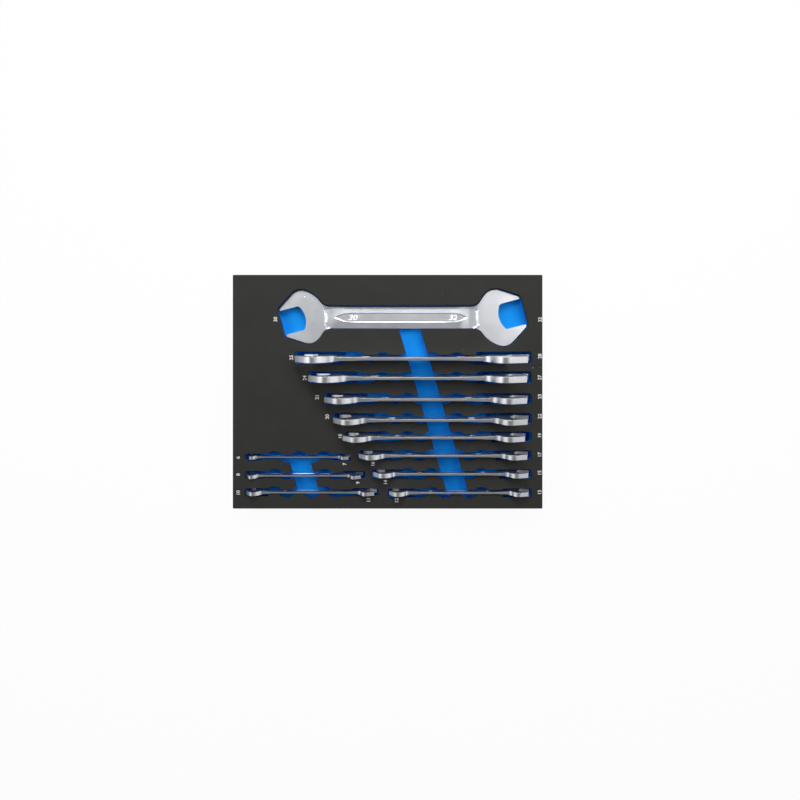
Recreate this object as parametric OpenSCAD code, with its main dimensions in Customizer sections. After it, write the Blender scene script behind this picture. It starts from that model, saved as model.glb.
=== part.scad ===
// Foam tool tray that holds twelve double open-end wrenches
// Origin at the centre of the tray's underside, +X to the right, +Y to the back, +Z up

/* [Tray] */
// Thickness of the black top layer
skin_t = 5; // [3:0.5:8]
// Thickness of the blue foam under it
foam_t = 27; // [25:1:45]
// Rounding of the tray's upright corners
tray_corner_r = 1.5; // [0.5:0.5:7]
// Foam behind the flat wrench's nest
back_margin = 15.7; // [8:0.1:30]
// Foam past the right end of the right group's slots
right_margin = 13; // [8:0.1:30]
// Foam past the left end of the left group's slots
left_margin = 14.3; // [8:0.1:30]
// Foam past the right end of the flat wrench
nest_margin = 18; // [10:0.1:30]
// Foam between the two groups where a left and a right slot end nearest
group_gap = 7.7; // [5:0.1:20]

/* [Pockets] */
// Depth of the finger channels, the scoops and the flat wrench's nest
channel_depth = 13; // [10:0.5:18]
// Gap between the flat wrench and its nest
nest_gap = 1.4; // [0.4:0.1:3]
// Gap beside a head in its pocket, for a jaw of size zero
head_slot_gap = 4; // [3:0.1:5]
// Gap beside a head gained for each millimetre of jaw
head_gap_share = 0.14; // [0.08:0.01:0.2]
// Length of a slot beyond its wrench
slot_play = 4; // [3:0.5:8]
// Rounding of a slot's outer corners
slot_corner_r = 2.8; // [0.5:0.1:3]
// Gap on each side of a shaft in its narrow slot
shaft_slot_gap = 1; // [0.4:0.1:1.5]
// Depth of a head pocket for a jaw of size zero
seat_base = 9; // [8:0.5:11]
// Depth of a head pocket gained for each millimetre of jaw
seat_share = 0.633; // [0.5:0.01:0.66]
// Length of a head pocket for a jaw of size zero
pocket_base = 8; // [6:0.5:12]
// Length of a head pocket gained for each millimetre of jaw
pocket_share = 2.1; // [1.95:0.05:2.3]
// Step of a head pocket's deep walls inside the slot's upper walls
pocket_step = 0.15; // [0.1:0.05:0.25]
// Gap at which a standing wrench rests off the foam
rest_gap = 0.3; // [0.1:0.05:0.5]

/* [Finger channels] */
// Width of both channels, square to their run
channel_w = 25; // [16:0.5:28]
// Slant of both channels from the Y axis
channel_slant = 16.4; // [0:0.2:20]
// Distance of the main channel from the tray's right edge, half way along it
main_channel_gap = 138.4; // [127:0.1:152]
// Distance of the side channel from the tray's left edge, at its middle row
side_channel_gap = 85.6; // [78:0.1:95]

/* [Finger scoops] */
// Distance between scoops on one side of a slot
scoop_pitch = 29.85; // [28.5:0.05:33]
// Radius of a scoop
scoop_r = 12.8; // [11:0.1:14]
// Reach of the back scoops from the slot's middle line
scoop_back = 7.4; // [6.8:0.1:8.5]
// Reach of the front scoops from the slot's middle line
scoop_front = 6.6; // [6.4:0.1:7.5]
// Rounding of the foam between two scoops
scoop_tip_r = 2.5; // [1:0.1:3.5]
// Distance of the right group's first back scoop from the tray's right edge
right_scoop_gap = 223; // [220:0.1:226]
// Distance of the left group's first back scoop from the tray's left edge
left_scoop_gap = 50.8; // [48:0.1:54]

/* [Foam between the rows] */
// Foam in front of the 30 x 32 wrench's nest
front_30x32 = 5.8; // [4:0.1:18]
// Foam in front of the 25 x 28 slot
front_25x28 = 8.6; // [6:0.1:18]
// Foam in front of the 24 x 27 slot
front_24x27 = 11.8; // [6:0.1:18]
// Foam in front of the 21 x 23 slot
front_21x23 = 10.4; // [6:0.1:18]
// Foam in front of the 20 x 22 slot
front_20x22 = 9.1; // [6:0.1:18]
// Foam in front of the 18 x 19 slot
front_18x19 = 10.1; // [6:0.1:18]
// Foam in front of the 16 x 17 slot
front_16x17 = 11.1; // [6:0.1:18]
// Foam in front of the 14 x 15 slot
front_14x15 = 11.8; // [6:0.1:18]
// Foam in front of the 12 x 13 slot
front_12x13 = 13.6; // [8:0.1:18]
// Foam in front of the 6 x 7 slot
front_6x7 = 12.2; // [6:0.1:18]
// Foam in front of the 8 x 9 slot
front_8x9 = 11.4; // [6:0.1:18]
// Foam in front of the 10 x 11 slot
front_10x11 = 14.7; // [8:0.1:18]

/* [Wrench lengths] */
// Length of the 30 x 32 wrench
len_30x32 = 301.5; // [290:0.5:315]
// Length of the 25 x 28 wrench
len_25x28 = 283; // [270:0.5:295]
// Length of the 24 x 27 wrench
len_24x27 = 266; // [255:0.5:280]
// Length of the 21 x 23 wrench
len_21x23 = 247; // [235:0.5:260]
// Length of the 20 x 22 wrench
len_20x22 = 237; // [225:0.5:250]
// Length of the 18 x 19 wrench
len_18x19 = 222; // [215:0.5:232]
// Length of the 16 x 17 wrench
len_16x17 = 206; // [195:0.5:209]
// Length of the 14 x 15 wrench
len_14x15 = 190; // [180:0.5:198]
// Length of the 12 x 13 wrench
len_12x13 = 171; // [160:0.5:180]
// Length of the 10 x 11 wrench
len_10x11 = 158; // [150:0.5:165]
// Length of the 8 x 9 wrench
len_8x9 = 142; // [135:0.5:150]
// Length of the 6 x 7 wrench
len_6x7 = 125; // [118:0.5:132]

/* [Wrench form] */
// Angle between each jaw and the shaft
jaw_angle = 15; // [0:1:20]
// Head thickness for a jaw of size zero
head_t_base = 2.7; // [2:0.1:3.5]
// Head thickness gained for each millimetre of jaw
head_t_share = 0.18; // [0.14:0.01:0.22]
// Shaft thickness for each millimetre of head thickness
shaft_t_share = 0.52; // [0.45:0.01:0.7]
// Shaft width for each millimetre of jaw
shaft_w_share = 0.85; // [0.7:0.01:0.95]
// Depth of the sunk panel on each face, for each millimetre of shaft thickness
panel_depth_share = 0.09; // [0.04:0.01:0.15]
// Width of the sunk panel for each millimetre of shaft width
panel_w_share = 0.43; // [0.3:0.01:0.55]
// Lengthwise tilt of the 18 x 19 wrench, which rides up on its slot's left end
tilt_18x19 = 1.6; // [1.4:0.1:2]
// Overhang of the 18 x 19 wrench past its slot's left end
overhang_18x19 = 2.2; // [1:0.1:3]

/* [Hidden] */

tray_h = skin_t + foam_t;
// How far a cut runs past the face it opens
over = 1;

// A row of the set: left jaw, right jaw, length, foam in front, shift from the slot's middle as a share
// of the slot's play, lengthwise tilt, lean as a share of what the pocket allows, and how much shallower
// its scoops are
W_30X32 = [30, 32, len_30x32, front_30x32, 0, 0, 0, 0];
W_25X28 = [25, 28, len_25x28, front_25x28, 0, 0, 0.58, 0.8];
W_24X27 = [24, 27, len_24x27, front_24x27, -0.3, 0, 0.54, 0.8];
W_21X23 = [21, 23, len_21x23, front_21x23, -0.3, 0, 0.5, 0];
W_20X22 = [20, 22, len_20x22, front_20x22, -0.15, 0, 0.6, 0];
W_18X19 = [18, 19, len_18x19, front_18x19, -0.5 - overhang_18x19 / slot_play, tilt_18x19, 0.48, 0];
W_16X17 = [16, 17, len_16x17, front_16x17, -0.3, 0, 0.44, 0];
W_14X15 = [14, 15, len_14x15, front_14x15, 0, 0, 0.38, 0];
W_12X13 = [12, 13, len_12x13, front_12x13, 0.05, 0, 0.4, 0];
W_10X11 = [10, 11, len_10x11, front_10x11, 0, 0, 0.54, 0];
W_8X9 = [8, 9, len_8x9, front_8x9, -0.2, 0, 0.92, 0];
W_6X7 = [6, 7, len_6x7, front_6x7, 0.2, 0, 0.71, 0];
// Largest jaw of the left group
left_group_jaw = 11;
// Both groups, from the tray's front
RIGHT_GROUP = [W_12X13, W_14X15, W_16X17, W_18X19, W_20X22, W_21X23, W_24X27, W_25X28];
LEFT_GROUP = [W_10X11, W_8X9, W_6X7];

function left_jaw(w) = w[0];
function right_jaw(w) = w[1];
function wrench_l(w) = w[2];
function foam_front(w) = w[3];
function shift_x(w) = w[4] * slot_play;
function tilt(w) = w[5];
function lean_share(w) = w[6];
function shallower(w) = w[7];
function mean_jaw(w) = (left_jaw(w) + right_jaw(w)) / 2;

// Head outline, as shares of the jaw size, about the point where the jaw's line crosses the shaft's.
// Its first axis points out of the jaw.
tip_x = 0.873;
tip_y = 0.55;
tip_r = 0.06;
shoulder_x = -0.06;
shoulder_y = 0.59;
shoulder_r = 0.5;
back_x = 0.29;
back_r = norm([back_x - shoulder_x, shoulder_y]) + shoulder_r;
side_angle = atan2(tip_y - shoulder_y, tip_x - tip_r - shoulder_x)
    + acos((shoulder_r - tip_r) / norm([tip_x - tip_r - shoulder_x, tip_y - shoulder_y]));
back_angle = atan2(shoulder_y, shoulder_x - back_x);
// Throat of the jaw, in the same shares
throat_depth = 0.95;
throat_r = 0.8;
throat_corner_r = 0.14;
throat_x = tip_x - throat_depth + throat_r;
throat_corner_x = throat_x
    - sqrt(pow(throat_r - throat_corner_r, 2) - pow(0.5 - throat_corner_r, 2));
throat_angle = atan2(0.5 - throat_corner_r, throat_corner_x - throat_x);
// Fillet between head and shaft
flare_r = 0.42;
// Start of the slope from the head's face down to the shaft's, in radii of the back arc
ledge_share = 1.04;
// Run of that slope for each millimetre of jaw
ramp_share = 0.2;
// The sunk panel: the gap to each head's centre, and the length of its pointed ends
panel_gap = 1.25;
panel_point = 1.72;

function head_t(w) = head_t_base + head_t_share * mean_jaw(w);
function shaft_t(w) = shaft_t_share * head_t(w);
function shaft_w(w) = shaft_w_share * mean_jaw(w);
// Reach of a head past its own centre, along the shaft
function head_reach(s) = s * ((tip_x - tip_r) * cos(jaw_angle) + tip_y * sin(jaw_angle) + tip_r);
function left_centre(w) = -wrench_l(w) / 2 + head_reach(left_jaw(w));
function right_centre(w) = wrench_l(w) / 2 - head_reach(right_jaw(w));
// Reach of a right head over and under the shaft's middle line; a left head is the same, half a turn round
function upper_reach(s) = s * (shoulder_y * cos(jaw_angle) + shoulder_x * sin(jaw_angle) + shoulder_r);
function lower_reach(s) = s * (shoulder_y * cos(jaw_angle) - shoulder_x * sin(jaw_angle) + shoulder_r);
function left_drop(w) = upper_reach(left_jaw(w));
function right_drop(w) = lower_reach(right_jaw(w));

// Rows along Y, from the tray's front edge to the back edge of a slot
function slot_w(w) = head_t(w) + head_slot_gap + head_gap_share * mean_jaw(w);
function run_y(group, w, i = 0) = foam_front(group[i]) + slot_w(group[i])
    + (group[i] == w ? 0 : run_y(group, w, i + 1));
nest_y = run_y(RIGHT_GROUP, W_25X28) + foam_front(W_30X32) + nest_gap
    + max(right_drop(W_30X32), left_drop(W_30X32));
tray_w = nest_y + nest_gap + back_margin
    + max(upper_reach(right_jaw(W_30X32)), lower_reach(left_jaw(W_30X32)));
row_30x32 = nest_y - tray_w / 2;
function in_right_group(w) = right_jaw(w) > left_group_jaw;
function row_y(w) = run_y(in_right_group(w) ? RIGHT_GROUP : LEFT_GROUP, w) - slot_w(w) / 2 - tray_w / 2;

// How a standing wrench lies in its slot: its right head on the pocket's floor and against its back wall,
// leaning to the front
function seat_depth(w) = seat_base + seat_share * right_jaw(w);
function lean(w) = let (span = slot_w(w) - 2 * rest_gap, depth = seat_depth(w) - rest_gap)
    lean_share(w) * (acos(head_t(w) / norm([span, depth])) - atan2(depth, span));
function axis_z(w) = tray_h - seat_depth(w) + rest_gap
    + right_drop(w) * cos(lean(w)) + head_t(w) / 2 * sin(lean(w));
function axis_y(w) = row_y(w) + slot_w(w) / 2 - pocket_step - rest_gap
    - right_drop(w) * sin(lean(w)) - head_t(w) / 2 * cos(lean(w));
function left_seat_z(w) = axis_z(w) - rest_gap
    - left_drop(w) * cos(lean(w)) - head_t(w) / 2 * sin(lean(w));

// Slots along X. The tray is as long as its longest pair of slots or its flat wrench asks.
function slot_l(w) = wrench_l(w) + slot_play;
pair_l = group_gap
    + max([for (i = [0 : len(LEFT_GROUP) - 1]) slot_l(LEFT_GROUP[i]) + slot_l(RIGHT_GROUP[i])]);
longest_slot = max([for (w = RIGHT_GROUP) slot_l(w)]);
tray_l = max(left_margin + max(pair_l, longest_slot) + right_margin, len_30x32 + 2 * nest_margin);
nest_x = tray_l / 2 - nest_margin - len_30x32 / 2;
function slot_x0(w) = in_right_group(w) ? tray_l / 2 - right_margin - slot_l(w) : left_margin - tray_l / 2;
function slot_x1(w) = slot_x0(w) + slot_l(w);
function deep_x0(w) = slot_x0(w) + pocket_base + pocket_share * left_jaw(w);
function deep_x1(w) = slot_x1(w) - pocket_base - pocket_share * right_jaw(w);
function wrench_x(w) = slot_x0(w) + slot_l(w) / 2 + shift_x(w);

// The narrow slot follows the leaning shaft
function shaft_foot_z(w) = axis_z(w) - shaft_w(w) / 2 * cos(lean(w));
function shaft_line_y(w) = axis_y(w) - ((tray_h + shaft_foot_z(w)) / 2 - axis_z(w)) * tan(lean(w));
function narrow_w(w) = shaft_t(w) / cos(lean(w))
    + (tray_h - shaft_foot_z(w)) * tan(lean(w)) + 2 * shaft_slot_gap;

function arc(c, r, a0, a1, n) = [
    for (i = [0 : n]) let (a = a0 + (a1 - a0) * i / n) c + r * [cos(a), sin(a)]
];
function mirror_y(points) = [for (i = [len(points) - 1 : -1 : 0]) [points[i].x, -points[i].y]];
function flatten(lists) = [for (list = lists) for (item = list) item];
// An outline without points that repeat the one before
function distinct(points) = [
    for (i = [0 : len(points) - 1]) if (norm(points[i] - points[(i + 1) % len(points)]) > 0.001) points[i]
];

// A scoop is left out where it rises less than this over the edge beside it
scoop_rise_min = 0.3;
// One flank of a scoop, from the straight edge at a level up to the scoop's top
function flank(c, reach, level) =
    level > reach - scoop_rise_min ? [[c, max(reach, level)]] :
    let (
        rise = level - reach + scoop_r,
        dx = sqrt(pow(scoop_r + scoop_tip_r, 2) - pow(rise + scoop_tip_r, 2)),
        a = atan2(rise + scoop_tip_r, dx)
    )
    concat(
        arc([c - dx, level + scoop_tip_r], scoop_tip_r, -90, -a, 3),
        arc([c, reach - scoop_r], scoop_r, 180 - a, 90, 5)
    );
function mirror_flank(points, c) = [
    for (i = [len(points) - 1 : -1 : 0]) [2 * c - points[i].x, points[i].y]
];

// Most scoops on one side of a slot
right_back_scoops = 6;
right_front_scoops = 5;
left_scoops = 3;
// A scoop this near to a head pocket is joined to it
join_reach = 21.5;
// A scoop's middle may lie this far inside a head pocket
scoop_tolerance = 4.5;
function scoop_centres(w, back) = let (
        first = in_right_group(w) ? tray_l / 2 - right_scoop_gap : left_scoop_gap - tray_l / 2,
        count = !in_right_group(w) ? left_scoops : back ? right_back_scoops : right_front_scoops,
        offset = back ? 0 : scoop_pitch / 2
    ) [
        for (k = [0 : count - 1]) let (c = first + offset + k * scoop_pitch)
            if (c > deep_x0(w) - scoop_tolerance && c < deep_x1(w) + scoop_tolerance) c
    ];

// One long side of a slot, from left to right, as heights over the slot's middle line
function slot_side(w, back) = let (
        centres = scoop_centres(w, back),
        last = len(centres) - 1,
        reach = (back ? scoop_back : scoop_front) - shallower(w),
        wide = slot_w(w) / 2,
        drift = shaft_line_y(w) - row_y(w),
        narrow = min(narrow_w(w) / 2 + (back ? drift : -drift), wide),
        join_l = centres[0] - deep_x0(w) < join_reach,
        join_r = deep_x1(w) - centres[last] < join_reach,
        r = min(slot_corner_r, wide)
    )
    concat(
        arc([slot_x0(w) + r, wide - r], r, 180, 90, 5),
        join_l ? [] : [[deep_x0(w), wide], [deep_x0(w), narrow]],
        flatten([for (i = [0 : last]) concat(
            flank(centres[i], reach, i == 0 && join_l ? wide : narrow),
            mirror_flank(flank(centres[i], reach, i == last && join_r ? wide : narrow), centres[i])
        )]),
        join_r ? [] : [[deep_x1(w), narrow], [deep_x1(w), wide]],
        arc([slot_x1(w) - r, wide - r], r, 90, 0, 5)
    );

module slot_2d(w) {
    translate([0, row_y(w)]) polygon(distinct(concat(slot_side(w, true), mirror_y(slot_side(w, false)))));
}

// The deep part of one head pocket, from the slot's outer end to the pocket's inner one
module head_pocket(w, outer, inner, floor_z) {
    half = slot_w(w) / 2 - pocket_step;
    r = min(slot_corner_r, half);
    l = abs(outer - inner) - pocket_step;
    out = outer > inner ? 0 : 180;
    translate([inner, row_y(w), floor_z]) rotate([0, 0, out])
        linear_extrude(tray_h - channel_depth + over - floor_z) polygon(concat(
            [[0, half]],
            arc([l - r, half - r], r, 90, 0, 5),
            arc([l - r, r - half], r, 0, -90, 5),
            [[0, -half]]
        ));
}

// Plan of a finger channel between two rows, about the X where it crosses y = y_ref
module channel_2d(x_ref, y_ref, y0, y1) {
    half = channel_w / 2 / cos(channel_slant);
    function mid(y) = x_ref - (y - y_ref) * tan(channel_slant);
    polygon([[mid(y0) - half, y0], [mid(y0) + half, y0], [mid(y1) + half, y1], [mid(y1) - half, y1]]);
}

module channels_2d() {
    channel_2d(tray_l / 2 - main_channel_gap, 0, row_y(W_12X13), row_30x32 - shaft_w(W_30X32) / 2);
    channel_2d(side_channel_gap - tray_l / 2, row_y(W_8X9), row_y(W_10X11), row_y(W_6X7));
}

// Plan of the jaw cut in a head
function half_jaw(s) = concat(
    [[(tip_x + over) * s, s / 2]],
    arc([throat_corner_x, 0.5 - throat_corner_r] * s, throat_corner_r * s, 90, throat_angle, 3),
    arc([throat_x * s, 0], throat_r * s, throat_angle, 180, 4)
);

module jaw_2d(s) {
    half = half_jaw(s);
    polygon(concat(half, [for (i = [len(half) - 2 : -1 : 0]) [half[i].x, -half[i].y]]));
}

// Round a head about its own centre, grown by a gap, between two angles of its back arc
function head_round(s, gap, a0, a1) = concat(
    arc([back_x * s, 0], back_r * s + gap, a0, -back_angle, 6),
    arc([shoulder_x, -shoulder_y] * s, shoulder_r * s + gap, -back_angle, -side_angle, 7),
    arc([tip_x - tip_r, -tip_y] * s, tip_r * s + gap, -side_angle, 0, 3),
    arc([tip_x - tip_r, tip_y] * s, tip_r * s + gap, 0, side_angle, 3),
    arc([shoulder_x, shoulder_y] * s, shoulder_r * s + gap, side_angle, back_angle, 7),
    arc([back_x * s, 0], back_r * s + gap, back_angle, a1, 3)
);
function turned(p, a) = [p.x * cos(a) - p.y * sin(a), p.x * sin(a) + p.y * cos(a)];
// Middle of the head's back arc, in the wrench's plane
function back_centre(s, x) = [x, 0] + back_x * s * [cos(jaw_angle), sin(jaw_angle)];

// Round the right end of a wrench with that jaw, from the shaft's lower edge to its upper one
function wrench_end(w, s, x, gap) = let (
        b = back_centre(s, x),
        r = flare_r * s,
        high_y = shaft_w(w) / 2 + r,
        far = back_r * s + r,
        low = [b.x - sqrt(pow(far, 2) - pow(high_y + b.y, 2)), -high_y],
        high = [b.x - sqrt(pow(far, 2) - pow(high_y - b.y, 2)), high_y],
        low_angle = atan2(low.y - b.y, low.x - b.x),
        high_angle = atan2(high.y - b.y, high.x - b.x)
    )
    concat(
        arc(low, r - gap, 90, low_angle + 180, 6),
        [for (p = head_round(s, gap, low_angle - jaw_angle, high_angle - jaw_angle))
            [x, 0] + turned(p, jaw_angle)],
        arc(high, r - gap, high_angle - 180, -90, 6)
    );

module wrench_plan(w, gap) {
    polygon(distinct(concat(
        wrench_end(w, right_jaw(w), right_centre(w), gap),
        [for (p = wrench_end(w, left_jaw(w), -left_centre(w), gap)) -p]
    )));
}

// A head's full thickness, sloping down to the shaft's round its back
module head_envelope(w, s) {
    flat_r = ledge_share * back_r * s;
    rotate_extrude($fn = 96) polygon([
        [0, -head_t(w) / 2], [flat_r, -head_t(w) / 2], [flat_r + ramp_share * s, -shaft_t(w) / 2],
        [flat_r + ramp_share * s, shaft_t(w) / 2], [flat_r, head_t(w) / 2], [0, head_t(w) / 2]
    ]);
}

// The sunk panel with its pointed ends
module panel_2d(w) {
    half_w = panel_w_share * shaft_w(w) / 2;
    point = panel_point * half_w * 2;
    r = (point * point + half_w * half_w) / (2 * half_w);
    x0 = left_centre(w) + panel_gap * left_jaw(w) + point;
    x1 = right_centre(w) - panel_gap * right_jaw(w) - point;
    half_angle = asin(point / r);
    polygon(concat(
        arc([x0, half_w - r], r, 90 + half_angle, 90, 5),
        arc([x1, half_w - r], r, 90, 90 - half_angle, 5),
        arc([x1, r - half_w], r, half_angle - 90, -90, 5),
        arc([x0, r - half_w], r, -90, -90 - half_angle, 5)
    ));
}

module wrench(w) {
    ends = [[left_jaw(w), -left_centre(w), 180], [right_jaw(w), right_centre(w), 0]];
    color("silver") difference() {
        union() {
            linear_extrude(shaft_t(w), center = true) wrench_plan(w, 0);
            for (e = ends) intersection() {
                linear_extrude(head_t(w), center = true) wrench_plan(w, 0);
                rotate(e[2]) translate(back_centre(e[0], e[1])) head_envelope(w, e[0]);
            }
        }
        for (e = ends) rotate(e[2]) translate([e[1], 0, -head_t(w)]) rotate(jaw_angle)
            linear_extrude(2 * head_t(w)) jaw_2d(e[0]);
        for (side = [1, -1]) translate([0, 0, side * shaft_t(w) / 2])
            linear_extrude(2 * panel_depth_share * shaft_t(w), center = true) panel_2d(w);
    }
}

// A wrench on edge in its slot, pivoted at its right head
module standing(w) {
    translate([wrench_x(w) + right_centre(w), axis_y(w), axis_z(w)])
        rotate([0, tilt(w), 0]) rotate([90 + lean(w), 0, 0]) translate([-right_centre(w), 0, 0]) wrench(w);
}

module wrench_30x32() {
    translate([nest_x, row_30x32, tray_h - channel_depth + head_t(W_30X32) / 2]) wrench(W_30X32);
}

// Plan of everything that is open at the tray's top
module openings_2d() {
    for (w = concat(RIGHT_GROUP, LEFT_GROUP)) slot_2d(w);
    channels_2d();
    translate([nest_x, row_30x32]) wrench_plan(W_30X32, nest_gap);
}

module tray_2d() {
    r = tray_corner_r;
    polygon(concat(
        arc([tray_l / 2 - r, tray_w / 2 - r], r, 0, 90, 4),
        arc([r - tray_l / 2, tray_w / 2 - r], r, 90, 180, 4),
        arc([r - tray_l / 2, r - tray_w / 2], r, 180, 270, 4),
        arc([tray_l / 2 - r, r - tray_w / 2], r, 270, 360, 4)
    ));
}

module foam_skin() {
    color([0.16, 0.16, 0.16]) translate([0, 0, foam_t]) linear_extrude(skin_t) difference() {
        tray_2d();
        openings_2d();
    }
}

module foam_base() {
    color([0.05, 0.42, 0.82]) difference() {
        linear_extrude(foam_t) tray_2d();
        translate([0, 0, tray_h - channel_depth]) linear_extrude(channel_depth) openings_2d();
        for (w = concat(RIGHT_GROUP, LEFT_GROUP)) {
            head_pocket(w, slot_x0(w), deep_x0(w), left_seat_z(w));
            head_pocket(w, slot_x1(w), deep_x1(w), tray_h - seat_depth(w));
        }
    }
}

foam_base();
foam_skin();
wrench_30x32();
standing(W_25X28);  // wrench_25x28
standing(W_24X27);  // wrench_24x27
standing(W_21X23);  // wrench_21x23
standing(W_20X22);  // wrench_20x22
standing(W_18X19);  // wrench_18x19
standing(W_16X17);  // wrench_16x17
standing(W_14X15);  // wrench_14x15
standing(W_12X13);  // wrench_12x13
standing(W_10X11);  // wrench_10x11
standing(W_8X9);  // wrench_8x9
standing(W_6X7);  // wrench_6x7
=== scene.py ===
"""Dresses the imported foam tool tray: foam, forged wrenches, printed and raised sizes, and a pale stage."""

import math

import bmesh
import bpy
from mathutils import Matrix, Vector


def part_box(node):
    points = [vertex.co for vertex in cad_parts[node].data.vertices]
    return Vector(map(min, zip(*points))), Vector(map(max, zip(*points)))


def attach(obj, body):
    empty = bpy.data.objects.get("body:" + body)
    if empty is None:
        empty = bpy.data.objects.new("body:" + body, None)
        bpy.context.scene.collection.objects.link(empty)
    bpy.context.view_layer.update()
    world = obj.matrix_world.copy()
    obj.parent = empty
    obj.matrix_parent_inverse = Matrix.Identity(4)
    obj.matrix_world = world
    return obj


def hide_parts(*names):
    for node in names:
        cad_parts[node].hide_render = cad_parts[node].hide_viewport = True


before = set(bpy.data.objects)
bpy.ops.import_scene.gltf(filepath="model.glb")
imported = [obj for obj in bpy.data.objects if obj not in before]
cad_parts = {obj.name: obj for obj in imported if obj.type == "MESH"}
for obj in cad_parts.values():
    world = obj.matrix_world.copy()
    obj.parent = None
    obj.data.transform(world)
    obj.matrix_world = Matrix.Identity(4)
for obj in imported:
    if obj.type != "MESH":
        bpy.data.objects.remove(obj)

bl_info = {
    "name": "Wrench Tray",
    "version": (1, 0, 0),
    "blender": (4, 5, 0),
    "location": "View3D > Sidebar > Wrench Tray",
    "description": "Foam tool tray with a set of double open-end wrenches",
    "category": "Add Mesh",
}

MM = 0.001
TRAY_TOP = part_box("foam_skin")[1].z
WRENCHES = sorted(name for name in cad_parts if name.startswith("wrench_"))

# Vertices nearer than this are one, and faces that turn less than this are flat together
WELD = 0.002 * MM
FLAT = math.radians(0.5)
# Edges that turn more than this are rounded, and the others are shaded smooth
SHARP = math.radians(33)


class TrayFoamSettings(bpy.types.PropertyGroup):
    black: bpy.props.FloatVectorProperty(
        name="Top layer", description="Colour of the black top layer", subtype="COLOR",
        size=3, min=0, max=1, default=(0.024, 0.024, 0.0225))
    blue: bpy.props.FloatVectorProperty(
        name="Base", description="Colour of the blue foam", subtype="COLOR",
        size=3, min=0, max=1, default=(0.005, 0.250, 0.760))
    edge: bpy.props.FloatProperty(
        name="Cut edge", description="Rounding of the cut edges at the top", unit="LENGTH",
        min=0, default=0.25 * MM)


class TrayWrenchSettings(bpy.types.PropertyGroup):
    chrome: bpy.props.FloatVectorProperty(
        name="Chrome", description="Colour of the satin chrome", subtype="COLOR",
        size=3, min=0, max=1, default=(0.68, 0.70, 0.735))
    roughness: bpy.props.FloatProperty(
        name="Roughness", description="Mean roughness of the satin chrome", subtype="FACTOR",
        min=0, max=1, default=0.31)
    edge_share: bpy.props.FloatProperty(
        name="Edge", description="Rounding of the edges, as a share of the head's thickness",
        subtype="FACTOR", min=0, max=0.3, default=0.20)


class TrayNumberSettings(bpy.types.PropertyGroup):
    white: bpy.props.FloatVectorProperty(
        name="Print", description="Colour of the printed sizes", subtype="COLOR",
        size=3, min=0, max=1, default=(0.80, 0.80, 0.79))
    printed_h: bpy.props.FloatProperty(
        name="Printed height", description="Height of the printed sizes", unit="LENGTH",
        min=0.001, default=4.4 * MM)
    print_weight: bpy.props.FloatProperty(
        name="Print weight", description="Extra weight of the printed digits", subtype="FACTOR",
        min=0, max=0.1, default=0.022)
    raised_share: bpy.props.FloatProperty(
        name="Raised height", description="Height of the raised sizes for each unit of the mean jaw",
        subtype="FACTOR", min=0.05, max=0.3, default=0.21)


class TrayStageSettings(bpy.types.PropertyGroup):
    camera_h: bpy.props.FloatProperty(
        name="Camera height", description="Height of the camera over the tray's top", unit="LENGTH",
        min=0.2, default=0.70)
    view_w: bpy.props.FloatProperty(
        name="View width", description="Width that the camera sees at the tray's top", unit="LENGTH",
        min=0.1, default=0.9688)
    camera_x: bpy.props.FloatProperty(
        name="Camera X", description="Place of the camera along X", unit="LENGTH", default=0.015)
    camera_y: bpy.props.FloatProperty(
        name="Camera Y", description="Place of the camera along Y", unit="LENGTH", default=-0.010)
    ambient: bpy.props.FloatProperty(
        name="Ambient", description="Strength of the world as a light", subtype="FACTOR",
        min=0, max=2, default=0.12)
    dim_zenith: bpy.props.FloatProperty(
        name="Dim zenith", description="How much darker than white the sky is straight above",
        subtype="FACTOR", min=0, max=1, default=0.82)


class Wire:
    """A shader socket that adds its own nodes when it is used in maths."""

    def __init__(self, tree, socket):
        self.tree = tree
        self.socket = socket

    def _math(self, operation, a, b=None, clamp=False):
        node = self.tree.nodes.new("ShaderNodeMath")
        node.operation = operation
        node.use_clamp = clamp
        for slot, value in enumerate((a, b)):
            if isinstance(value, Wire):
                self.tree.links.new(value.socket, node.inputs[slot])
            elif value is not None:
                node.inputs[slot].default_value = value
        return Wire(self.tree, node.outputs[0])

    def __add__(self, other):
        return self._math("ADD", self, other)

    def __radd__(self, other):
        return self._math("ADD", other, self)

    def __sub__(self, other):
        return self._math("SUBTRACT", self, other)

    def __rsub__(self, other):
        return self._math("SUBTRACT", other, self)

    def __mul__(self, other):
        return self._math("MULTIPLY", self, other)

    def __rmul__(self, other):
        return self._math("MULTIPLY", other, self)

    def __gt__(self, other):
        return self._math("GREATER_THAN", self, other)

    def __lt__(self, other):
        return self._math("LESS_THAN", self, other)

    def clamped(self):
        return self._math("ADD", self, 0.0, clamp=True)


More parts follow.
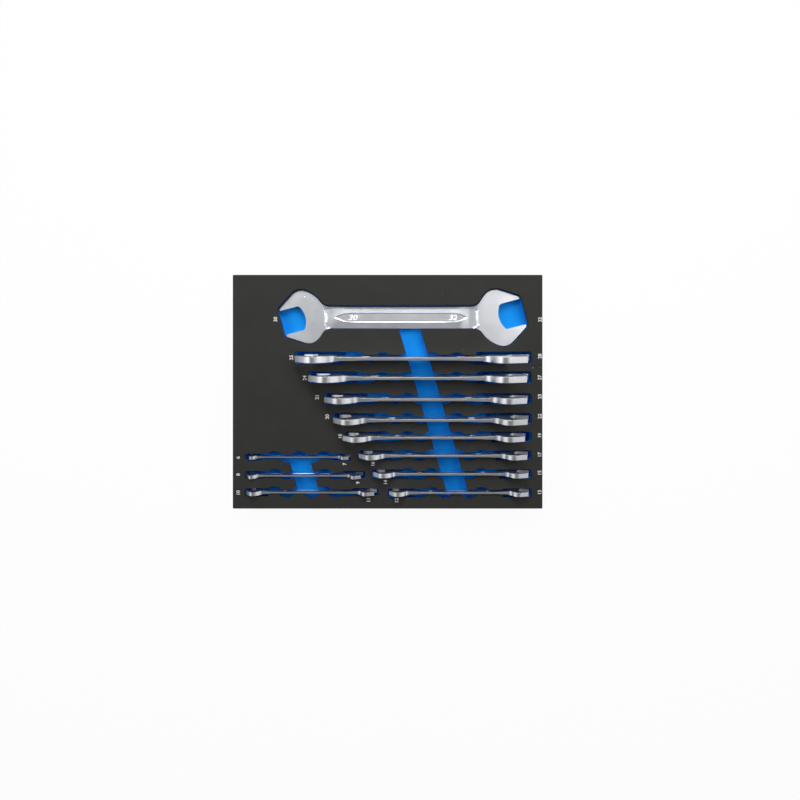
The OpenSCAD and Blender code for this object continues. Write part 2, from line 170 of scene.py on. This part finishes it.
class Graph:
    """A shader node tree that is built by calls."""

    def __init__(self, tree, output_kind):
        self.tree = tree
        self.tree.nodes.clear()
        self.output = self.tree.nodes.new(output_kind)

    def node(self, kind, settings=None, **sockets):
        made = self.tree.nodes.new(kind)
        for key, value in (settings or {}).items():
            setattr(made, key, value)
        for key, value in sockets.items():
            self.plug(made.inputs[key.replace("_", " ")], value)
        return made

    def plug(self, socket, value):
        if isinstance(value, Wire):
            self.tree.links.new(value.socket, socket)
        else:
            socket.default_value = value

    def wire(self, made, output=0):
        return Wire(self.tree, made.outputs[output])

    def finish(self, shader):
        self.tree.links.new(shader.outputs[0], self.output.inputs[0])

    def seen_white(self, kind, share, strength, ground):
        """White to the camera, in mirrors and through glass, and the ground's own shade to other rays."""
        path = self.node("ShaderNodeLightPath")
        seen = self.wire(path, "Is Camera Ray") + self.wire(path, "Is Glossy Ray")
        seen = (seen + self.wire(path, "Is Transmission Ray")).clamped()
        white = self.node(kind, None, Color=(1.0, 1.0, 1.0, 1.0), Strength=strength)
        mixed = self.node("ShaderNodeMixShader", None, Fac=seen * share)
        self.tree.links.new(ground.outputs[0], mixed.inputs[1])
        self.tree.links.new(white.outputs[0], mixed.inputs[2])
        self.finish(mixed)


class Finish(Graph):
    """A node material for one finish."""

    def __init__(self, name):
        self.material = bpy.data.materials.new(name)
        self.material.use_nodes = True
        super().__init__(self.material.node_tree, "ShaderNodeOutputMaterial")

    def place(self):
        """Object coordinates, which are metres in the shared frame."""
        return self.wire(self.node("ShaderNodeTexCoord"), "Object")

    def noise(self, vector, scale, detail, roughness):
        made = self.node(
            "ShaderNodeTexNoise", None, Vector=vector, Scale=scale, Detail=detail, Roughness=roughness)
        return self.wire(made, "Fac")

    def spot(self, x, y, half_l, half_w, slant=0.0):
        """A soft oval around a place, which is 1 at its middle, with its sizes in millimetres."""
        axes = self.node("ShaderNodeSeparateXYZ", None, Vector=self.place())
        along = (self.wire(axes, 0) - x * MM) * (1 / (half_l * MM))
        across = (self.wire(axes, 1) - y * MM) * (1 / (half_w * MM)) - along * slant
        return (1.0 - along * along - across * across).clamped()

    def mix(self, factor, a, b):
        made = self.node("ShaderNodeMix", {"data_type": "RGBA"})
        self.plug(made.inputs[0], factor)
        for socket, value in ((made.inputs[6], a), (made.inputs[7], b)):
            self.plug(socket, value if isinstance(value, Wire) else (*value, 1.0))
        return self.wire(made, 2)

    def toned(self, factor, colour, low, high):
        """A colour between two shares of its own brightness."""
        dark, light = (tuple(min(1.0, c * share) for c in colour) for share in (low, high))
        return self.mix(factor, dark, light)

    def bump(self, height, strength, distance):
        made = self.node("ShaderNodeBump", None, Height=height, Strength=strength, Distance=distance)
        return self.wire(made, "Normal")

    def principled(self, **sockets):
        self.finish(self.node("ShaderNodeBsdfPrincipled", None, **sockets))


# Pale scuffs on the black foam: middle along X and Y, half length and half width in millimetres, and slant
SCUFFS = ((175.6, 28.9, 2.3, 0.45, 0.6), (184.0, 29.2, 0.9, 0.5, 0.6))
# A scuff shows where the foam's grain is higher than this
SCUFF_GRAIN = 0.46
SCUFF_PALE = 0.5
# Dust lies in the cells of a coarse pattern: its reach in a cell, and the share of cells without any
DUST_REACH = 0.045
DUST_FREE = 0.72
DUST_PALE = 0.55
DUST_COLOUR = (0.42, 0.45, 0.50)


def black_foam(settings):
    """Fine-grained closed-cell foam, with scattered pale dust and two scuffs."""
    finish = Finish("black_foam")
    place = finish.place()
    grain = finish.noise(place, 1900.0, 3.0, 0.7)
    mottle = finish.noise(place, 28.0, 2.0, 0.6)
    cells = finish.node("ShaderNodeTexVoronoi", {"feature": "F1"}, Vector=place, Scale=150.0)
    near = finish.wire(cells, "Distance") < DUST_REACH
    pick = finish.node("ShaderNodeSeparateColor", None, Color=finish.wire(cells, "Color"))
    dust = near * (finish.wire(pick, 0) > DUST_FREE) * finish.wire(pick, 1)
    marks = dust * DUST_PALE
    for scuff in SCUFFS:
        marks = marks + finish.spot(*scuff) * (grain > SCUFF_GRAIN) * SCUFF_PALE
    lit = (grain * 0.55 + mottle * 0.45).clamped()
    colour = finish.mix(marks.clamped(), finish.toned(lit, settings.black, 0.62, 1.42), DUST_COLOUR)
    finish.principled(
        Base_Color=colour, Roughness=0.66 + grain * 0.2, Specular_IOR_Level=0.2,
        Normal=finish.bump(grain, 0.35, 0.25 * MM))
    return finish.material


# The cutter's marks run along the finger channels, which stand this much off the tray's width
CHANNEL_SLANT = math.radians(16.4)


def blue_foam(settings):
    """Blue closed-cell foam, with the faint marks of the cutter."""
    finish = Finish("blue_foam")
    place = finish.place()
    cell = finish.noise(place, 1300.0, 3.0, 0.65)
    patch = finish.noise(place, 60.0, 3.0, 0.6)
    drawn_out = finish.wire(finish.node(
        "ShaderNodeMapping", None, Vector=place, Rotation=(0, 0, CHANNEL_SLANT), Scale=(1.0, 0.08, 1.0)))
    streak = finish.noise(drawn_out, 420.0, 2.0, 0.5)
    lit = (cell * 0.3 + patch * 0.4 + streak * 0.3).clamped()
    finish.principled(
        Base_Color=finish.toned(lit, settings.blue, 0.8, 1.2),
        Roughness=0.7 + cell * 0.2, Specular_IOR_Level=0.1,
        Normal=finish.bump(cell + streak * 0.5, 0.3, 0.3 * MM))
    return finish.material


# Test mark on the flat wrench's left head: middle along X and Y and its two radii, in millimetres
TEST_MARK = (-100.8, 116.3, 0.9, 0.9)


def satin_chrome(settings):
    """Satin chrome plate on a blasted forging, with soft clouds, fine specks and one test mark."""
    finish = Finish("satin_chrome")
    place = finish.place()
    cloud = finish.noise(place, 90.0, 3.0, 0.6)
    blast = finish.noise(place, 2600.0, 2.0, 0.6)
    wear = finish.noise(place, 420.0, 4.0, 0.65)
    lit = (cloud * 0.7 + wear * 0.3).clamped()
    finish.principled(
        Base_Color=finish.toned(lit, settings.chrome, 0.93, 1.06), Metallic=1.0,
        Roughness=settings.roughness - 0.05 + cloud * 0.08 + wear * 0.02,
        Normal=finish.bump(blast * 0.007 - finish.spot(*TEST_MARK), 0.8, 0.4 * MM))
    return finish.material


def raised_chrome(settings):
    """The paler, duller plate on the raised digits."""
    finish = Finish("raised_chrome")
    grain = finish.noise(finish.place(), 1800.0, 2.0, 0.6)
    finish.principled(
        Base_Color=finish.toned(grain, settings.chrome, 1.25, 1.36), Metallic=1.0,
        Roughness=settings.roughness + 0.2 + grain * 0.1)
    return finish.material


def print_ink(settings):
    """White print, a little thin where the foam's grain shows through."""
    finish = Finish("print_ink")
    grain = finish.noise(finish.place(), 1500.0, 2.0, 0.7)
    finish.principled(Base_Color=finish.toned(grain, settings.white, 0.8, 1.0), Roughness=0.6)
    return finish.material


def merged(node):
    """A merged copy of a solid, whose flat faces are whole again."""
    bm = bmesh.new()
    bm.from_mesh(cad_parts[node].data)
    bmesh.ops.remove_doubles(bm, verts=bm.verts, dist=WELD)
    bmesh.ops.dissolve_limit(bm, angle_limit=FLAT, verts=bm.verts, edges=bm.edges)
    return bm


def sharp_edges(bm):
    """The edges that are rounded."""
    return [e for e in bm.edges if e.is_manifold and e.calc_face_angle() > SHARP]


def rounded(bm, edges, radius, segments):
    """Rounds edges of a bmesh in place."""
    bmesh.ops.bevel(
        bm, geom=edges, offset=radius, offset_type="OFFSET", affect="EDGES", segments=segments,
        profile=0.5, material=-1, clamp_overlap=True)


def dressed_piece(bm, piece_name, node, material):
    """The piece that replaces a solid, with its curved sides shaded smooth and its flat ones flat."""
    for face in bm.faces:
        face.smooth = True
    for e in bm.edges:
        e.smooth = not e.is_manifold or e.calc_face_angle() < SHARP
    piece = new_piece(bm, piece_name, material)
    piece.modifiers.new("flat_faces", "WEIGHTED_NORMAL").keep_sharp = True
    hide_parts(node)


def new_piece(bm, piece_name, material):
    """A piece from a bmesh, riding the one body."""
    mesh = bpy.data.meshes.new(piece_name)
    bm.to_mesh(mesh)
    bm.free()
    mesh.materials.clear()
    mesh.materials.append(material)
    piece = bpy.data.objects.new(piece_name, mesh)
    bpy.context.scene.collection.objects.link(piece)
    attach(piece, "root")
    return piece


# Edges longer than this share of the longest are the shaft's own
LONG_SHARE = 0.3
# Reach of a head past its centre for each millimetre of jaw, as the solids have it
HEAD_REACH = 0.988
# The sunk panel as the solids have it: its depth as a share of the shaft's thickness, its width as a share
# of the shaft's, its ends' distance from the head's centre in jaw sizes and their length in panel widths
PANEL_DEPTH_SHARE = 0.09
PANEL_W_SHARE = 0.43
PANEL_GAP = 1.25
PANEL_POINT = 1.72
# The panel's floor is smaller than its rim by this share, so that its walls slope
PANEL_SLOPE = 0.14
# The shaft's faces, from this distance from the head's centre on, in jaw sizes
SHAFT_FROM = 1.0
# Their crown: from this share of the shaft's width on they lie lower by a share of its thickness
CROWN_FROM = 0.46
CROWN = 0.10
# The shaft thickens to a share of the head between two distances from the head's centre, in jaw sizes
TAPER_NEAR = 1.22
TAPER_FAR = 2.4
TAPER_CUTS = 6
TAPER_HEAD_SHARE = 0.76
# The step from head to shaft lies between two distances from the head's centre, in jaw sizes
STEP_NEAR = 0.7
STEP_FAR = 1.2
# Its edges are drawn towards the head, so that it reads as a line: shift in jaw sizes, and where across
# the shaft the shift ends and over how much it fades, as shares of the shaft's width
STEP_TOP = (0.09, 0.58, 0.14)
STEP_MIDDLE = (0.145, 0.5, 0.14)
STEP_FOOT = (0.20, 0.5, 0.3)
# A vertex is on the shaft up to the first of these heights over its middle and on the step from the second
# on, in half thicknesses of the shaft, and at the head's top from the third on, in thicknesses of the head
ON_SHAFT = 1.01
ABOVE_SHAFT = 1.2
HEAD_TOP = 0.49
# A face is part of a flat side while the cosine of its lean from that side is over this
FLAT_SIDE = 0.7
# Lines of a panel or a step turn more than this and lie within a share of the shaft's width, and they are
# broken finely
FINE = math.radians(8)
LINE_REACH = 0.44
FINE_EDGE = 0.14 * MM
# Segments of the rounded outer edges and of the fine lines
OUTER_SEGMENTS = 4
FINE_SEGMENTS = 2


class Forging:
    """A wrench's own lines, measured on its merged solid."""

    def __init__(self, node, bm):
        self.jaws = jaws(node)
        longest = max(e.calc_length() for e in bm.edges)
        long_edges = [e for e in bm.edges if e.calc_length() > LONG_SHARE * longest]
        edge = max(long_edges, key=lambda e: e.calc_length())
        along = (edge.verts[1].co - edge.verts[0].co).normalized()
        self.along = along if along.x > 0 else -along
        self.out = max(bm.faces, key=lambda f: f.calc_area()).normal.normalized()
        up = self.out.cross(self.along)
        self.up = up if up.y + up.z > 0 else -up
        ends = [v.co for e in long_edges for v in e.verts]
        every = [v.co for v in bm.verts]
        low_x, high_x = extent(every, self.along)
        low_up, high_up = extent(ends, self.up)
        low_out, high_out = extent(ends, self.out)
        low_head, high_head = extent(every, self.out)
        self.length = high_x - low_x
        self.shaft_w = high_up - low_up
        self.shaft_t = high_out - low_out
        self.head_t = high_head - low_head
        self.middle = (self.along * (low_x + high_x) + self.up * (low_up + high_up)
                       + self.out * (low_out + high_out)) / 2

    def panel_frame(self, side, share):
        """A frame on the sunk panel of one side, that share of the length from the middle."""
        out = self.out * side
        right = self.up.cross(out)
        height = self.shaft_t * (0.5 - PANEL_DEPTH_SHARE)
        floor = self.middle + self.along * self.length * share + out * height
        return Matrix.Translation(floor) @ Matrix((right, self.up, out)).transposed().to_4x4()

    def head_gap(self, x):
        """Distance from the nearer head's centre, in jaw sizes, of a place along the wrench."""
        size = self.jaws[x > 0] * MM
        return (self.length / 2 - HEAD_REACH * size - abs(x)) / size

    def shape_faces(self, bm):
        """Slopes the panels' walls, crowns the shaft's faces and sharpens the step at each head."""
        for v in bm.verts:
            place = v.co - self.middle
            x, up, out = place.dot(self.along), place.dot(self.up), place.dot(self.out)
            size = self.jaws[x > 0] * MM
            gap = self.head_gap(x)
            side = abs(up) / self.shaft_w
            level = abs(out) / (self.shaft_t / 2)
            on_step = STEP_NEAR < gap < STEP_FAR
            on_shaft = gap >= SHAFT_FROM and level <= ON_SHAFT
            if on_step and level > ABOVE_SHAFT:
                top = abs(out) > HEAD_TOP * self.head_t
                self.draw_in(v, x, size, side, *(STEP_TOP if top else STEP_MIDDLE))
            elif on_step and side < CROWN_FROM:
                self.draw_in(v, x, size, side, *STEP_FOOT)
            elif on_shaft and side > CROWN_FROM:
                v.co -= self.out * out * 2 * CROWN
            elif on_shaft and level < 1 - PANEL_DEPTH_SHARE:
                base = PANEL_GAP + PANEL_POINT * PANEL_W_SHARE * self.shaft_w / size
                v.co -= self.up * up * PANEL_SLOPE
                v.co -= self.along * math.copysign(max(0.0, base - gap) * size * PANEL_SLOPE, x)

    def draw_in(self, v, x, size, side, shift, reach, fade):
        """Moves a vertex towards its head by a shift that fades out across the shaft, up to the reach."""
        hold = min(1.0, max(0.0, (reach - side) / fade))
        v.co += self.along * math.copysign(shift * hold * size, x)

    def taper(self, bm):
        """Thickens the shaft evenly towards both heads."""
        for size, end in zip(self.jaws, (-1, 1)):
            for cut in range(TAPER_CUTS + 1):
                share = TAPER_NEAR + (TAPER_FAR - TAPER_NEAR) * cut / TAPER_CUTS
                x = end * (self.length / 2 - (HEAD_REACH + share) * size * MM)
                bmesh.ops.bisect_plane(
                    bm, geom=[*bm.verts, *bm.edges, *bm.faces], dist=WELD,
                    plane_co=self.middle + self.along * x, plane_no=self.along)
        most = TAPER_HEAD_SHARE * self.head_t / self.shaft_t - 1
        for v in bm.verts:
            place = v.co - self.middle
            near = (TAPER_FAR - self.head_gap(place.dot(self.along))) / (TAPER_FAR - TAPER_NEAR)
            near = min(1.0, max(0.0, near))
            out = place.dot(self.out)
            grown = out * (1 + most * near * near * (3 - 2 * near))
            if abs(grown) < self.head_t / 2:
                v.co += self.out * (grown - out)

    def on_face(self, edge):
        """Whether an edge lies between two faces of the flat sides, as at a panel or a head's step."""
        return all(abs(face.normal.dot(self.out)) > FLAT_SIDE for face in edge.link_faces)

    def is_line(self, edge):
        """Whether an edge draws a panel or a head's step."""
        places = [v.co - self.middle for v in edge.verts]
        return edge.is_manifold and edge.calc_face_angle() > FINE and self.on_face(edge) and all(
            abs(p.dot(self.up)) < LINE_REACH * self.shaft_w and self.head_gap(p.dot(self.along)) > STEP_NEAR
            for p in places)


def extent(points, axis):
    """Lowest and highest reach of points along an axis."""
    reach = [point.dot(axis) for point in points]
    return min(reach), max(reach)


def forged_piece(node, material, edge_share):
    """A wrench with a tapered shaft, well rounded outer edges and a crisp panel."""
    bm = merged(node)
    forging = Forging(node, bm)
    forging.shape_faces(bm)
    forging.taper(bm)
    outer = [e for e in sharp_edges(bm) if not forging.on_face(e)]
    rounded(bm, outer, edge_share * forging.head_t, OUTER_SEGMENTS)
    rounded(bm, [e for e in bm.edges if forging.is_line(e)], FINE_EDGE, FINE_SEGMENTS)
    dressed_piece(bm, "forged_" + node, node, material)


# Half depth of a digit before it is scaled to its size, in units of the font
DIGIT_DEPTH = 0.03


def text_mesh(text, height, thick, slant=0.0, weight=0.0, edge=0.0, wide=1.0):
    """A number as a closed mesh, centred on its own origin, with its digits that high and thick."""
    curve = bpy.data.curves.new("digits", "FONT")
    curve.body = text
    curve.extrude = DIGIT_DEPTH
    curve.shear = slant
    curve.offset = weight
    curve.bevel_depth = edge
    curve.bevel_resolution = 1
    curve.resolution_u = 4
    holder = bpy.data.objects.new("digits", curve)
    bpy.context.scene.collection.objects.link(holder)
    bpy.context.view_layer.update()
    mesh = bpy.data.meshes.new_from_object(holder.evaluated_get(bpy.context.evaluated_depsgraph_get()))
    bpy.data.objects.remove(holder)
    bpy.data.curves.remove(curve)
    places = [v.co for v in mesh.vertices]
    low = Vector([min(axis) for axis in zip(*places)])
    high = Vector([max(axis) for axis in zip(*places)])
    size = height / (high.y - low.y)
    deep = thick / (high.z - low.z)
    mesh.transform(Matrix.Diagonal((size * wide, size, deep, 1)) @ Matrix.Translation(-(low + high) / 2))
    return mesh


def joined_piece(piece_name, meshes, material):
    """One piece from placed meshes."""
    bm = bmesh.new()
    for mesh in meshes:
        bm.from_mesh(mesh)
        bpy.data.meshes.remove(mesh)
    bmesh.ops.remove_doubles(bm, verts=bm.verts, dist=WELD)
    return new_piece(bm, piece_name, material)


def jaws(node):
    """The two jaw sizes in a wrench's name."""
    return tuple(int(size) for size in node.split("_")[1].split("x"))


# Segments of the foam's rounded cut edges
CUT_SEGMENTS = 3


class TRAY_OT_foam(bpy.types.Operator):
    """Dress the two foam layers"""

    bl_idname = "tray.foam"
    bl_label = "Foam"

    def execute(self, context):
        settings = context.scene.tray_foam
        dressed_piece(merged("foam_base"), "blue_base", "foam_base", blue_foam(settings))
        bm = merged("foam_skin")
        top = [e for e in sharp_edges(bm) if all(v.co.z > TRAY_TOP - WELD for v in e.verts)]
        rounded(bm, top, settings.edge, CUT_SEGMENTS)
        dressed_piece(bm, "black_layer", "foam_skin", black_foam(settings))
        return {"FINISHED"}


class TRAY_OT_wrenches(bpy.types.Operator):
    """Make the chromed wrenches with rounded edges"""

    bl_idname = "tray.wrenches"
    bl_label = "Wrenches"

    def execute(self, context):
        settings = context.scene.tray_wrench
        chrome = satin_chrome(settings)
        for node in WRENCHES:
            forged_piece(node, chrome, settings.edge_share)
        return {"FINISHED"}


# Printed sizes with the places of their middles on the tray, in millimetres
PRINTED = (
    (30, -135.9, 87.8), (32, 184.6, 87.5), (25, -116.6, 41.3), (28, 184.3, 43.1),
    (24, -100.5, 16.7), (27, 184.2, 17.4), (21, -85.5, -6.9), (23, 184.2, -5.9),
    (20, -73.2, -30.2), (22, 184.2, -29.7), (18, -57.4, -53.6), (19, 184.1, -52.6),
    (16, -17.9, -87.0), (17, 184.2, -75.7), (14, -2.6, -109.3), (15, 184.1, -97.8),
    (12, 10.9, -131.2), (13, 184.1, -121.4), (6, -181.1, -79.7), (7, -52.1, -87.5),
    (8, -181.0, -100.3), (9, -36.0, -110.1), (10, -181.0, -121.9), (11, -23.2, -131.0),
)
PRINT_THICK = 0.04 * MM
# The print runs up the tray, towards its back
PRINT_TURN = Matrix.Rotation(math.radians(90), 4, "Z")


class TRAY_OT_printed_sizes(bpy.types.Operator):
    """Print each wrench's sizes beside its slot"""

    bl_idname = "tray.printed_sizes"
    bl_label = "Printed sizes"

    def execute(self, context):
        settings = context.scene.tray_number
        meshes = []
        for size, x, y in PRINTED:
            mesh = text_mesh(str(size), settings.printed_h, PRINT_THICK, weight=settings.print_weight)
            middle = Matrix.Translation((x * MM, y * MM, TRAY_TOP + PRINT_THICK / 2))
            mesh.transform(middle @ PRINT_TURN)
            meshes.append(mesh)
        joined_piece("printed_sizes", meshes, print_ink(settings))
        return {"FINISHED"}


# Distance of the raised sizes from a wrench's middle, as a share of its length
RAISED_SHARE = 0.203
# Their thickness as a share of their height, and the share of it that is sunk in the panel
RAISED_THICK = 0.12
RAISED_SUNK = 0.3
# Slant, extra weight, rounding and width of their digits
RAISED_DIGITS = {"slant": 0.25, "weight": 0.008, "edge": 0.012, "wide": 1.25}


class TRAY_OT_raised_sizes(bpy.types.Operator):
    """Raise each wrench's two sizes on its panels"""

    bl_idname = "tray.raised_sizes"
    bl_label = "Raised sizes"

    def execute(self, context):
        settings = context.scene.tray_number
        meshes = []
        for node in WRENCHES:
            bm = merged(node)
            forging = Forging(node, bm)
            bm.free()
            height = settings.raised_share * sum(forging.jaws) / 2 * MM
            thick = RAISED_THICK * height
            for size, end in zip(forging.jaws, (-1, 1)):
                for side in (1, -1):
                    mesh = text_mesh(str(size), height, thick, **RAISED_DIGITS)
                    raised = Matrix.Translation((0, 0, thick * (0.5 - RAISED_SUNK)))
                    mesh.transform(forging.panel_frame(side, end * RAISED_SHARE) @ raised)
                    meshes.append(mesh)
        joined_piece("raised_sizes", meshes, raised_chrome(context.scene.tray_wrench))
        return {"FINISHED"}


# Lamps: place in metres, power in watts and colour
LAMPS = {
    "back_lamp": ((0.02, 0.83, 0.82), 8.8, (1.0, 1.0, 1.0)),
    "right_lamp": ((0.79, 0.29, 0.98), 5.4, (1.0, 0.99, 0.97)),
    "left_lamp": ((-0.88, 0.20, 0.95), 5.0, (1.0, 1.0, 1.0)),
}
LAMP_SIDE = 0.6
# Half size of the floor, its colour in the tray's shadow, and how much of it the camera sees as white
FLOOR_REACH = 3.0
FLOOR_SHADE = (0.86, 0.86, 0.86, 1.0)
FLOOR_WHITE = 0.95
# Colour of the world as a light
WORLD_LIGHT = (0.93, 0.96, 1.0, 1.0)
# The sky that metal mirrors darkens from this height to the zenith, and less so towards the back
SKY_FROM = 0.5
SKY_BACK = 0.8
# Width of the camera's sensor in millimetres, and the nearest place that it sees
SENSOR_W = 36.0
CAMERA_NEAR = 0.01


def lamp(name, place, power, colour):
    """A soft square lamp that faces the middle of the tray's top."""
    data = bpy.data.lights.new(name, "AREA")
    data.shape = "SQUARE"
    data.size = LAMP_SIDE
    data.energy = power
    data.color = colour
    made = bpy.data.objects.new(name, data)
    made.location = place
    towards = Vector((0, 0, TRAY_TOP)) - Vector(place)
    made.rotation_euler = towards.to_track_quat("-Z", "Y").to_euler()
    bpy.context.scene.collection.objects.link(made)


def pale_floor():
    """A floor that is white to the camera and keeps the tray's shadow."""
    bm = bmesh.new()
    bmesh.ops.create_grid(bm, x_segments=1, y_segments=1, size=FLOOR_REACH)
    mesh = bpy.data.meshes.new("floor")
    bm.to_mesh(mesh)
    bm.free()
    floor = bpy.data.objects.new("floor", mesh)
    bpy.context.scene.collection.objects.link(floor)
    finish = Finish("floor_white")
    ground = finish.node("ShaderNodeBsdfDiffuse", None, Color=FLOOR_SHADE)
    finish.seen_white("ShaderNodeEmission", FLOOR_WHITE, 1.0, ground)
    mesh.materials.append(finish.material)


def studio_world(settings):
    """A white surround for the camera, with a darker zenith in metal, and a faint even light."""
    world = bpy.data.worlds.new("studio")
    world.use_nodes = True
    studio = Graph(world.node_tree, "ShaderNodeOutputWorld")
    direction = studio.wire(studio.node("ShaderNodeTexCoord"), "Generated")
    sky = studio.node("ShaderNodeSeparateXYZ", None, Vector=direction)
    rise = (studio.wire(sky, 2) - SKY_FROM) * (1 / (1 - SKY_FROM))
    high = (rise - studio.wire(sky, 1) * SKY_BACK).clamped()
    light = studio.node("ShaderNodeBackground", None, Color=WORLD_LIGHT, Strength=settings.ambient)
    studio.seen_white("ShaderNodeBackground", 1.0, 1.0 - high * settings.dim_zenith, light)
    return world


def photo_camera(settings):
    """A camera straight above the tray."""
    data = bpy.data.cameras.new("camera")
    data.sensor_width = SENSOR_W
    data.lens = SENSOR_W * settings.camera_h / settings.view_w
    data.clip_start = CAMERA_NEAR
    camera = bpy.data.objects.new("camera", data)
    camera.location = (settings.camera_x, settings.camera_y, TRAY_TOP + settings.camera_h)
    bpy.context.scene.collection.objects.link(camera)
    return camera


class TRAY_OT_stage(bpy.types.Operator):
    """Set the floor, the light and the camera"""

    bl_idname = "tray.stage"
    bl_label = "Stage"

    def execute(self, context):
        settings = context.scene.tray_stage
        scene = context.scene
        pale_floor()
        scene.world = studio_world(settings)
        for name, lamp_values in LAMPS.items():
            lamp(name, *lamp_values)
        scene.camera = photo_camera(settings)
        scene.view_settings.view_transform = "Standard"
        return {"FINISHED"}


GROUPS = {
    "tray_foam": TrayFoamSettings,
    "tray_wrench": TrayWrenchSettings,
    "tray_number": TrayNumberSettings,
    "tray_stage": TrayStageSettings,
}
STEPS = (TRAY_OT_foam, TRAY_OT_wrenches, TRAY_OT_printed_sizes, TRAY_OT_raised_sizes, TRAY_OT_stage)


class TRAY_PT_panel(bpy.types.Panel):
    """The tray's settings and steps"""

    bl_idname = "TRAY_PT_panel"
    bl_label = "Wrench Tray"
    bl_space_type = "VIEW_3D"
    bl_region_type = "UI"
    bl_category = "Wrench Tray"

    def draw(self, context):
        layout = self.layout
        for group in GROUPS:
            settings = getattr(context.scene, group)
            box = layout.box()
            for key in settings.__annotations__:
                box.prop(settings, key)
        for step in STEPS:
            layout.operator(step.bl_idname)


def register():
    for group in GROUPS.values():
        bpy.utils.register_class(group)
    for step in STEPS:
        bpy.utils.register_class(step)
    bpy.utils.register_class(TRAY_PT_panel)
    for name, group in GROUPS.items():
        setattr(bpy.types.Scene, name, bpy.props.PointerProperty(type=group))


def unregister():
    for name in GROUPS:
        delattr(bpy.types.Scene, name)
    bpy.utils.unregister_class(TRAY_PT_panel)
    for step in reversed(STEPS):
        bpy.utils.unregister_class(step)
    for group in GROUPS.values():
        bpy.utils.unregister_class(group)


def main():
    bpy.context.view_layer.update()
    register()
    bpy.ops.tray.foam()
    bpy.ops.tray.wrenches()
    bpy.ops.tray.printed_sizes()
    bpy.ops.tray.raised_sizes()
    bpy.ops.tray.stage()


if __name__ == "__main__":
    main()
